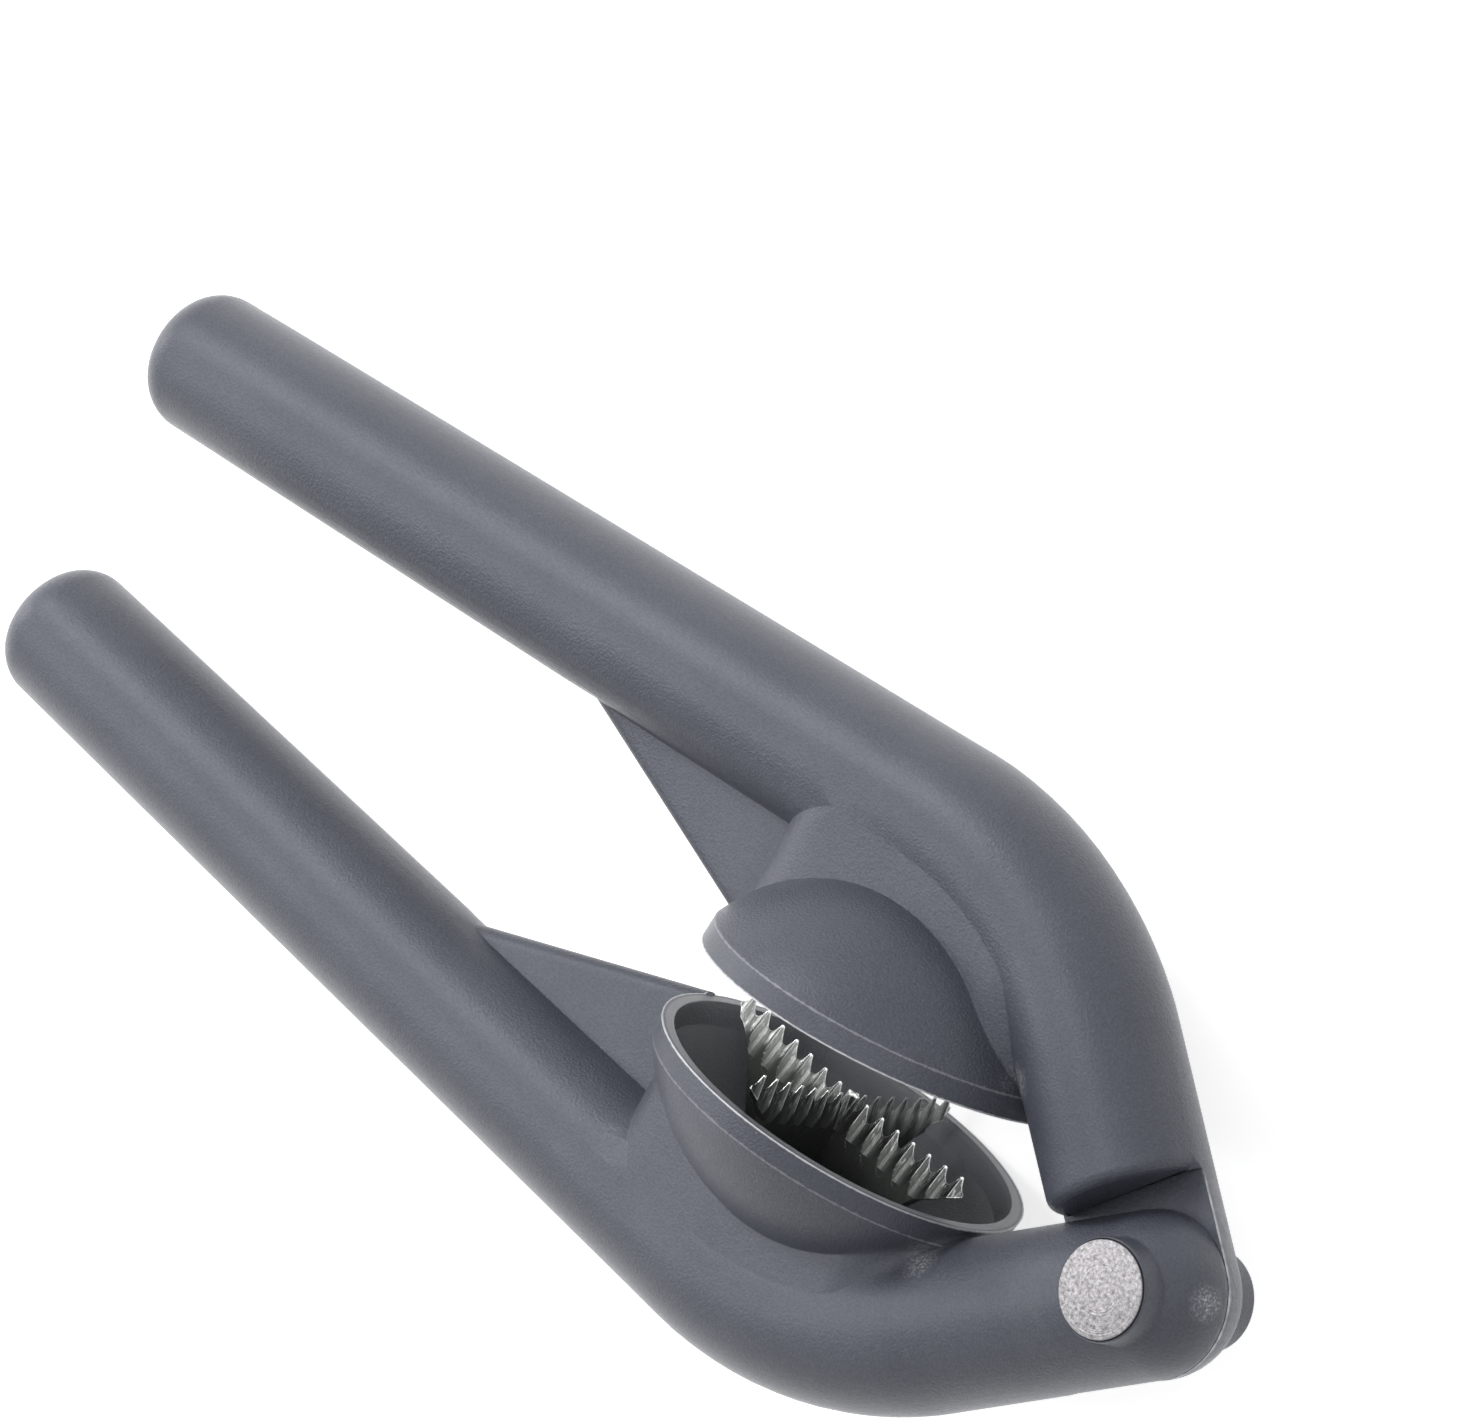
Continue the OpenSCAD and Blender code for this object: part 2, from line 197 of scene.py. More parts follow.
def cup_marks():
    """Masks for the worn parts of an arm and for its painted light, from a place in its cup's own
    axes in mm.

    Lip and Band are worn rings round the cup and Brim is a ring of painted highlight inside its lip,
    Inside and Depth are its hollow, where light and shade are painted, Glint is two small spots of
    painted sparkle highlight and Lap is the rim of the ear, rubbed light, with a painted highlight
    on its edge.
    """
    group = bpy.data.node_groups.new("cup_marks", "ShaderNodeTree")
    group.interface.new_socket("Place", in_out="INPUT", socket_type="NodeSocketVector")
    for out in ("Lip", "Band", "Brim", "Inside", "Depth", "Glint", "Lap"):
        group.interface.new_socket(out, in_out="OUTPUT", socket_type="NodeSocketFloat")
    nodes, links = group.nodes, group.links
    start = nodes.new("NodeGroupInput")
    end = nodes.new("NodeGroupOutput")
    place = start.outputs["Place"]
    lip = ring_mask(nodes, links, place, 21.2, 0, 0.22, 0.7)
    links.new(lip.outputs[0], end.inputs["Lip"])
    band = ring_mask(nodes, links, place, 20.9, 2.5, 0.16, 2.2)
    links.new(band.outputs[0], end.inputs["Band"])
    brim = ring_mask(nodes, links, place, 19.75, 0.25, 0.5, 0.5)
    links.new(brim.outputs[0], end.inputs["Brim"])

    # the hollow of the cup, and how deep a place in it lies, where the coat gets painted light and
    # shade
    middle = nodes.new("ShaderNodeVectorMath")
    middle.operation = "DISTANCE"
    middle.inputs[1].default_value = (0, 0, -9.5)
    links.new(place, middle.inputs[0])
    inside = nodes.new("ShaderNodeMapRange")
    inside.inputs["From Min"].default_value = 23.0
    inside.inputs["From Max"].default_value = 22.7
    links.new(middle.outputs["Value"], inside.inputs["Value"])
    links.new(inside.outputs[0], end.inputs["Inside"])
    split = nodes.new("ShaderNodeSeparateXYZ")
    links.new(place, split.inputs[0])
    sunk = nodes.new("ShaderNodeMapRange")
    sunk.inputs["From Min"].default_value = 0.5
    sunk.inputs["From Max"].default_value = 9
    links.new(split.outputs["Z"], sunk.inputs["Value"])
    links.new(sunk.outputs[0], end.inputs["Depth"])

    # both sides of the arm are alike, so one folded place serves them
    fold = nodes.new("ShaderNodeVectorMath")
    fold.operation = "MULTIPLY_ADD"
    fold.inputs[1].default_value = (1, 0, 1)
    width = nodes.new("ShaderNodeMath")
    width.operation = "ABSOLUTE"
    links.new(split.outputs["Y"], width.inputs[0])
    out_of_plane = nodes.new("ShaderNodeCombineXYZ")
    links.new(width.outputs[0], out_of_plane.inputs["Y"])
    links.new(place, fold.inputs[0])
    links.new(out_of_plane.outputs[0], fold.inputs[2])
    # two small spots that get a painted sparkle highlight
    glint_spots = []
    for spot, reach in (((-20.9, 6.1, 4.5), 2.6), ((-50.1, 3.0, -11.4), 2.6)):
        glint = nodes.new("ShaderNodeVectorMath")
        glint.operation = "DISTANCE"
        glint.inputs[1].default_value = spot
        links.new(fold.outputs[0], glint.inputs[0])
        core = nodes.new("ShaderNodeMapRange")
        core.interpolation_type = "SMOOTHSTEP"
        core.inputs["From Min"].default_value = reach
        core.inputs["From Max"].default_value = 0.3
        links.new(glint.outputs["Value"], core.inputs["Value"])
        glint_spots.append(core)
    pair = nodes.new("ShaderNodeMath")
    pair.operation = "MAXIMUM"
    links.new(glint_spots[0].outputs[0], pair.inputs[0])
    links.new(glint_spots[1].outputs[0], pair.inputs[1])
    links.new(pair.outputs[0], end.inputs["Glint"])

    # the side of the ear next to the lap, rubbed light, with a painted highlight as a bright line on
    # its very edge
    from_pin = nodes.new("ShaderNodeVectorMath")
    from_pin.operation = "MULTIPLY_ADD"
    from_pin.inputs[1].default_value = (1, 0, 1)
    from_pin.inputs[2].default_value = (42.67, 0, 7.44)
    links.new(place, from_pin.inputs[0])
    swing = nodes.new("ShaderNodeVectorMath")
    swing.operation = "LENGTH"
    links.new(from_pin.outputs[0], swing.inputs[0])
    outside = nodes.new("ShaderNodeMapRange")
    outside.inputs["From Min"].default_value = 8.1
    outside.inputs["From Max"].default_value = 8.5
    links.new(swing.outputs["Value"], outside.inputs["Value"])
    at_end = nodes.new("ShaderNodeMapRange")
    at_end.inputs["From Min"].default_value = 13.5
    at_end.inputs["From Max"].default_value = 12
    links.new(swing.outputs["Value"], at_end.inputs["Value"])
    around = nodes.new("ShaderNodeMath")
    around.operation = "MULTIPLY"
    links.new(outside.outputs[0], around.inputs[0])
    links.new(at_end.outputs[0], around.inputs[1])
    line = nodes.new("ShaderNodeMapRange")
    line.inputs["From Min"].default_value = 0.6
    line.inputs["From Max"].default_value = 0.35
    line.inputs["To Min"].default_value = 0.13
    links.new(width.outputs[0], line.inputs["Value"])
    behind = nodes.new("ShaderNodeMapRange")
    behind.inputs["From Min"].default_value = -0.06
    behind.inputs["From Max"].default_value = -0.12
    links.new(split.outputs["Y"], behind.inputs["Value"])
    outer = nodes.new("ShaderNodeMath")
    outer.operation = "MULTIPLY"
    links.new(around.outputs[0], outer.inputs[0])
    links.new(behind.outputs[0], outer.inputs[1])
    broken = nodes.new("ShaderNodeTexNoise")
    broken.inputs["Scale"].default_value = 0.9
    broken.inputs["Detail"].default_value = 5
    links.new(place, broken.inputs["Vector"])
    patchy = nodes.new("ShaderNodeMapRange")
    patchy.inputs["From Min"].default_value = 0.35
    patchy.inputs["From Max"].default_value = 0.6
    patchy.inputs["To Min"].default_value = 0.3
    links.new(broken.outputs["Fac"], patchy.inputs["Value"])
    lit = nodes.new("ShaderNodeMath")
    lit.operation = "MULTIPLY"
    links.new(line.outputs[0], lit.inputs[0])
    links.new(patchy.outputs[0], lit.inputs[1])
    rubbed_and_edge_highlight = nodes.new("ShaderNodeMath")
    rubbed_and_edge_highlight.operation = "MULTIPLY"
    links.new(outer.outputs[0], rubbed_and_edge_highlight.inputs[0])
    links.new(lit.outputs[0], rubbed_and_edge_highlight.inputs[1])
    links.new(rubbed_and_edge_highlight.outputs[0], end.inputs["Lap"])
    return group


def own_place(nodes, links, coordinates, to_world):
    """A place on the piece in its own axes in millimetres. Returns the mapping node."""
    mapping = nodes.new("ShaderNodeMapping")
    mapping.vector_type = "TEXTURE"
    where, turn, size = to_world.decompose()
    mapping.inputs["Location"].default_value = where
    mapping.inputs["Rotation"].default_value = turn.to_euler()
    mapping.inputs["Scale"].default_value = size
    links.new(coordinates.outputs["Object"], mapping.inputs["Vector"])
    return mapping


grit = cast_grit()
marks = cup_marks()


def coated_material(name, cup_to_world, lap_wear_and_highlight, nook_radius):
    """Dark grey coat over a blasted casting, worn bright at the cup rim, with painted light and
    shade inside the cup and painted highlights at the brim, the lap edge and two small spots.
    """
    mat = bpy.data.materials.new(name)
    mat.use_nodes = True
    nodes, links = mat.node_tree.nodes, mat.node_tree.links
    shader = nodes["Principled BSDF"]
    place = nodes.new("ShaderNodeTexCoord")
    speck = nodes.new("ShaderNodeGroup")
    speck.node_tree = grit
    links.new(place.outputs["Object"], speck.inputs["Place"])
    to_cup = own_place(nodes, links, place, cup_to_world)
    cup = nodes.new("ShaderNodeGroup")
    cup.node_tree = marks
    links.new(to_cup.outputs[0], cup.inputs["Place"])

    shade = nodes.new("ShaderNodeMix")
    shade.data_type = "RGBA"
    shade.inputs["A"].default_value = (0.05, 0.055, 0.072, 1)
    shade.inputs["B"].default_value = (0.074, 0.08, 0.102, 1)
    links.new(speck.outputs["Tone"], shade.inputs["Factor"])
    # painted light and painted shade: the inside of the cup is painted lighter than the coat, for
    # the light that gets into it, and darker towards its bottom
    hollow = nodes.new("ShaderNodeMix")
    hollow.data_type = "RGBA"
    hollow.inputs["A"].default_value = (0.26, 0.268, 0.29, 1)
    hollow.inputs["B"].default_value = (0.155, 0.16, 0.17, 1)
    links.new(cup.outputs["Depth"], hollow.inputs["Factor"])
    # the coat outside, and the painted light and shade of the hollow inside the cup
    dark = nodes.new("ShaderNodeMix")
    dark.data_type = "RGBA"
    links.new(hollow.outputs["Result"], dark.inputs["B"])
    links.new(cup.outputs["Inside"], dark.inputs["Factor"])
    fleck = nodes.new("ShaderNodeMapRange")
    fleck.inputs["From Min"].default_value = 0.4
    fleck.inputs["From Max"].default_value = 0.65
    fleck.inputs["To Min"].default_value = 0.9
    fleck.inputs["To Max"].default_value = 1.12
    links.new(speck.outputs["Height"], fleck.inputs["Value"])
    grainy = nodes.new("ShaderNodeVectorMath")
    grainy.operation = "SCALE"
    links.new(shade.outputs["Result"], grainy.inputs[0])
    links.new(fleck.outputs[0], grainy.inputs["Scale"])
    links.new(grainy.outputs[0], dark.inputs["A"])

    # the worn places and the painted highlights add up to one share of bare metal colour
    wear = nodes.new("ShaderNodeMath")
    wear.operation = "MAXIMUM"
    faint = nodes.new("ShaderNodeMath")
    faint.operation = "MULTIPLY"
    faint.inputs[1].default_value = 0.22
    links.new(cup.outputs["Band"], faint.inputs[0])
    links.new(cup.outputs["Lip"], wear.inputs[0])
    links.new(faint.outputs[0], wear.inputs[1])
    # the lap side of the ear: rubbed light, with a painted highlight along its edge
    lap = nodes.new("ShaderNodeMath")
    lap.operation = "MULTIPLY_ADD"
    lap.inputs[1].default_value = lap_wear_and_highlight
    links.new(cup.outputs["Lap"], lap.inputs[0])
    # painted highlight: a faint ring inside the lip is painted pale, for the light caught by its
    # rounded inner edge
    painted_brim_highlight = nodes.new("ShaderNodeMath")
    painted_brim_highlight.operation = "MULTIPLY_ADD"
    painted_brim_highlight.inputs[1].default_value = 0.1
    links.new(cup.outputs["Brim"], painted_brim_highlight.inputs[0])
    links.new(wear.outputs[0], painted_brim_highlight.inputs[2])
    links.new(painted_brim_highlight.outputs[0], lap.inputs[2])
    # painted highlight: two small spots, one of them in the nook between cup and bar, are painted
    # bright in many small sparks for the light they catch
    spark = nodes.new("ShaderNodeMapRange")
    spark.inputs["From Min"].default_value = 0.5
    spark.inputs["From Max"].default_value = 0.75
    spark.inputs["To Min"].default_value = 0.1
    spark.inputs["To Max"].default_value = 0.75
    links.new(speck.outputs["Height"], spark.inputs["Value"])
    glint = nodes.new("ShaderNodeMath")
    glint.operation = "MULTIPLY_ADD"
    links.new(cup.outputs["Glint"], glint.inputs[0])
    links.new(spark.outputs[0], glint.inputs[1])
    links.new(lap.outputs[0], glint.inputs[2])
    bare = nodes.new("ShaderNodeMix")
    bare.data_type = "RGBA"
    bare.inputs["B"].default_value = (0.62, 0.63, 0.66, 1)
    links.new(glint.outputs[0], bare.inputs["Factor"])
    links.new(dark.outputs["Result"], bare.inputs["A"])
    links.new(bare.outputs["Result"], shader.inputs["Base Color"])

    gloss = nodes.new("ShaderNodeMapRange")
    gloss.inputs["To Min"].default_value = 0.5
    gloss.inputs["To Max"].default_value = 0.36
    links.new(speck.outputs["Height"], gloss.inputs["Value"])
    links.new(gloss.outputs[0], shader.inputs["Roughness"])
    # the nook between cup and bar, alike on both sides, is rounder than the other corners
    apart = []
    for side in (-1, 1):
        nook = nodes.new("ShaderNodeVectorMath")
        nook.operation = "DISTANCE"
        nook.inputs[1].default_value = (-20, side * 6.5, 5.5)
        links.new(to_cup.outputs[0], nook.inputs[0])
        apart.append(nook)
    nearer = nodes.new("ShaderNodeMath")
    nearer.operation = "MINIMUM"
    links.new(apart[0].outputs["Value"], nearer.inputs[0])
    links.new(apart[1].outputs["Value"], nearer.inputs[1])
    fillet = nodes.new("ShaderNodeMapRange")
    fillet.interpolation_type = "SMOOTHSTEP"
    fillet.inputs["From Min"].default_value = 8
    fillet.inputs["From Max"].default_value = 3
    fillet.inputs["To Min"].default_value = 0.00025
    fillet.inputs["To Max"].default_value = nook_radius
    links.new(nearer.outputs[0], fillet.inputs["Value"])
    soft = nodes.new("ShaderNodeBevel")
    soft.samples = 6
    links.new(fillet.outputs[0], soft.inputs["Radius"])
    bump = nodes.new("ShaderNodeBump")
    bump.inputs["Strength"].default_value = 0.8
    bump.inputs["Distance"].default_value = 0.00006
    links.new(speck.outputs["Height"], bump.inputs["Height"])
    links.new(soft.outputs[0], bump.inputs["Normal"])
    links.new(bump.outputs["Normal"], shader.inputs["Normal"])
    shader.inputs["Metallic"].default_value = 0.1
    shader.inputs["Specular IOR Level"].default_value = 0.26
    # a thin gloss over the grit breaks the highlights into sparks
    spark_bump = nodes.new("ShaderNodeBump")
    spark_bump.inputs["Strength"].default_value = 1.0
    spark_bump.inputs["Distance"].default_value = 0.00035
    sparkle = nodes.new("ShaderNodeTexNoise")
    sparkle.inputs["Scale"].default_value = 3600
    sparkle.inputs["Detail"].default_value = 3
    links.new(place.outputs["Object"], sparkle.inputs["Vector"])
    links.new(sparkle.outputs["Fac"], spark_bump.inputs["Height"])
    links.new(soft.outputs[0], spark_bump.inputs["Normal"])
    links.new(spark_bump.outputs["Normal"], shader.inputs["Coat Normal"])
    shader.inputs["Coat Weight"].default_value = 0.42
    shader.inputs["Coat IOR"].default_value = 1.4
    shader.inputs["Coat Roughness"].default_value = 0.16
    return mat


lower_arm = cast_skin("lower_arm_casting", "lower_arm", "blade_side", lay_down)
lower_coat = coated_material("coated_lower", lay_down @ cup_place, 0.12, 0.0028)
lower_arm.data.materials.append(lower_coat)
upper_place = lay_down @ turn_over
upper_arm = cast_skin("upper_arm_casting", "upper_arm", "cup_side", upper_place)
upper_coat = coated_material("coated_upper", upper_place @ cup_place, 0.9, 0.0004)
upper_arm.data.materials.append(upper_coat)

# The pivot pin
# A turned steel pin pressed into the lower arm. Both ends stand proud, each with a small
# chamfer. The end faces are bare and mottled, and the wall carries the coat of the castings.
made = bmesh.new()
profile = [
    (0, 10.05), (4.85, 10.05), (4.97, 10.02), (5.03, 9.94), (5.03, 9.5), (5.1, 9.4),
    (5.1, -9.4), (5.03, -9.5), (5.03, -9.94), (4.97, -10.02), (4.85, -10.05), (0, -10.05),
]
edge_line = [made.verts.new((radius, 0, height)) for radius, height in profile]
for low, high in zip(edge_line, edge_line[1:]):
    made.edges.new((low, high))
bmesh.ops.spin(
    made, geom=made.verts[:] + made.edges[:], cent=(0, 0, 0), axis=(0, 0, 1),
    angle=math.tau, steps=PIN_STEPS, use_merge=True,
)
bmesh.ops.remove_doubles(made, verts=made.verts, dist=0.0001)
bmesh.ops.recalc_face_normals(made, faces=made.faces)
bmesh.ops.transform(made, matrix=lay_down, verts=made.verts)
for face in made.faces:
    face.smooth = True
for edge in made.edges:
    edge.smooth = edge.calc_face_angle(0) < math.radians(20)
pin_mesh = bpy.data.meshes.new("pivot_pin_turned")
made.to_mesh(pin_mesh)
made.free()
pin = bpy.data.objects.new("pivot_pin_turned", pin_mesh)
bpy.context.scene.collection.objects.link(pin)
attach(pin, "blade_side")
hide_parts("pivot_pin")

turned = bpy.data.materials.new("turned_steel")
turned.use_nodes = True
nodes, links = turned.node_tree.nodes, turned.node_tree.links
shader = nodes["Principled BSDF"]
place = nodes.new("ShaderNodeTexCoord")
to_pin = own_place(nodes, links, place, lay_down)
split = nodes.new("ShaderNodeSeparateXYZ")
links.new(to_pin.outputs[0], split.inputs[0])
flat = nodes.new("ShaderNodeCombineXYZ")
links.new(split.outputs["X"], flat.inputs["X"])
links.new(split.outputs["Y"], flat.inputs["Y"])
reach = nodes.new("ShaderNodeVectorMath")
reach.operation = "LENGTH"
links.new(flat.outputs[0], reach.inputs[0])
rings = nodes.new("ShaderNodeTexNoise")
rings.noise_dimensions = "1D"
rings.inputs["Scale"].default_value = 6
rings.inputs["Detail"].default_value = 4
links.new(reach.outputs["Value"], rings.inputs["W"])
mottle = nodes.new("ShaderNodeTexNoise")
mottle.inputs["Scale"].default_value = 2.4
mottle.inputs["Roughness"].default_value = 0.7
mottle.inputs["Detail"].default_value = 5
links.new(to_pin.outputs[0], mottle.inputs["Vector"])
worn = nodes.new("ShaderNodeMix")
worn.data_type = "RGBA"
worn.inputs["A"].default_value = (0.13, 0.125, 0.13, 1)
worn.inputs["B"].default_value = (0.38, 0.37, 0.38, 1)
patchy = nodes.new("ShaderNodeMapRange")
patchy.inputs["From Min"].default_value = 0.32
patchy.inputs["From Max"].default_value = 0.72
links.new(mottle.outputs["Fac"], patchy.inputs["Value"])
links.new(patchy.outputs[0], worn.inputs["Factor"])
coated = nodes.new("ShaderNodeMix")
coated.data_type = "RGBA"
coated.inputs["A"].default_value = (0.085, 0.09, 0.105, 1)
links.new(worn.outputs["Result"], coated.inputs["B"])
links.new(coated.outputs["Result"], shader.inputs["Base Color"])
# from the wall to the bare end face
end_face = nodes.new("ShaderNodeMath")
end_face.operation = "ABSOLUTE"
links.new(split.outputs["Z"], end_face.inputs[0])
bare = nodes.new("ShaderNodeMapRange")
bare.inputs["From Min"].default_value = 9.86
bare.inputs["From Max"].default_value = 9.94
links.new(end_face.outputs[0], bare.inputs["Value"])
links.new(bare.outputs[0], coated.inputs["Factor"])
links.new(bare.outputs[0], shader.inputs["Metallic"])
rough = nodes.new("ShaderNodeMapRange")
rough.inputs["From Min"].default_value = 0.3
rough.inputs["From Max"].default_value = 0.7
rough.inputs["To Min"].default_value = 0.52
rough.inputs["To Max"].default_value = 0.3
links.new(mottle.outputs["Fac"], rough.inputs["Value"])
links.new(rough.outputs[0], shader.inputs["Roughness"])
height = nodes.new("ShaderNodeMath")
height.operation = "MULTIPLY_ADD"
height.inputs[1].default_value = 0.8
links.new(rings.outputs["Fac"], height.inputs[0])
links.new(mottle.outputs["Fac"], height.inputs[2])
bump = nodes.new("ShaderNodeBump")
bump.inputs["Strength"].default_value = 0.45
bump.inputs["Distance"].default_value = 0.00009
links.new(height.outputs[0], bump.inputs["Height"])
links.new(bump.outputs["Normal"], shader.inputs["Normal"])
pin.data.materials.append(turned)

# The crossed blades
# Two steel plates that cross in the lower cup. Hollow flutes are ground down both faces between
# the teeth, which leaves a row of small pointed ribs, and the plates sit in slots in the floor.
PITCH = 2.35
FIRST = 2.1
LAST = 6
HALF = 17.375
THICK = 0.8
FLUTE_DEPTH = 0.46
TIP_HALF = 0.13
EDGE_HALF = 0.01
TIP_SLOPE = 0.223
THINNEST = 0.03
TIPS_MIDDLE = -2.3
TIPS_SAG = 1.1


def from_tooth(x):
    """Distance along the plate from the nearest tooth tip."""
    count = min(max(round((abs(x) - FIRST) / PITCH), 0), LAST)
    return min(abs(abs(x) - FIRST - count * PITCH), PITCH / 2)


def flute(x):
    """Depth of the hollow flutes, zero on the ribs and deepest between them."""
    if abs(x) < FIRST - PITCH / 2:
        return 0
    share = from_tooth(x) / (PITCH / 2)
    return FLUTE_DEPTH * share * (2 - share)


def ground_half(x, below):
    """Half thickness at a place along the plate, this far below the line of the tips."""
    return min(THICK, max(TIP_HALF + TIP_SLOPE * below - flute(x), THINNEST))


def toothed_plate(name, node, to_cup):
    """One blade: a fluted toothed edge over a plain plate that narrows to its foot."""
    columns = 84
    middle = 8
    rows = 36
    low_edge = 5
    made = bmesh.new()
    bmesh.ops.create_grid(made, x_segments=2 * columns + middle, y_segments=rows, size=1)
    for vert in made.verts:
        step = round((vert.co.x + 1) / 2 * (2 * columns + middle)) - columns - middle / 2
        inner = min(abs(step), middle / 2) / (middle / 2) * (FIRST - PITCH / 2)
        outer = max(abs(step) - middle / 2, 0) * (HALF - FIRST + PITCH / 2) / columns
        x = math.copysign(inner + outer, step)
        tips = TIPS_MIDDLE - TIPS_SAG * (x / HALF) ** 2
        top = tips + max(flute(x) - TIP_HALF + EDGE_HALF, 0) / TIP_SLOPE
        depth = top + (low_edge - top) * (vert.co.y + 1) / 2
        vert.co = (x, ground_half(x, depth - tips), depth)
    whole = made.verts[:] + made.edges[:] + made.faces[:]
    bmesh.ops.mirror(made, geom=whole, axis="Y", merge_dist=-1)
    bmesh.ops.bridge_loops(made, edges=[edge for edge in made.edges if edge.is_boundary])

    # the two ends slope in under the lip of the cup
    for side in (-1, 1):
        cut = bmesh.ops.bisect_plane(
            made, geom=made.verts[:] + made.edges[:] + made.faces[:], dist=0.0001,
            plane_co=(side * HALF, 0, -1.5), plane_no=(side * 3.3, 0, 4.4), clear_outer=True,
        )
        edges = [item for item in cut["geom_cut"] if isinstance(item, bmesh.types.BMEdge)]
        bmesh.ops.holes_fill(made, edges=edges, sides=0)

    # the plain plate below narrows to the foot, which sits in its slot: half length at the
    # top and at the bottom, then the depths of both
    for wide, narrow, high, low in ((12.97, 6.5, 1.8, 11.5), (6.5, 6.5, 11.4, 14.1)):
        lower = bmesh.ops.create_cube(made, size=2)["verts"]
        for vert in lower:
            reach = narrow if vert.co.z > 0 else wide
            vert.co = (vert.co.x * reach, vert.co.y * (THICK - 0.02), low if vert.co.z > 0 else high)
    bmesh.ops.recalc_face_normals(made, faces=made.faces)
    bmesh.ops.transform(made, matrix=to_cup, verts=made.verts)
    mesh = bpy.data.meshes.new(name)
    made.to_mesh(mesh)
    made.free()
    piece = bpy.data.objects.new(name, mesh)
    bpy.context.scene.collection.objects.link(piece)
    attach(piece, "blade_side")
    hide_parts(node)
    return piece


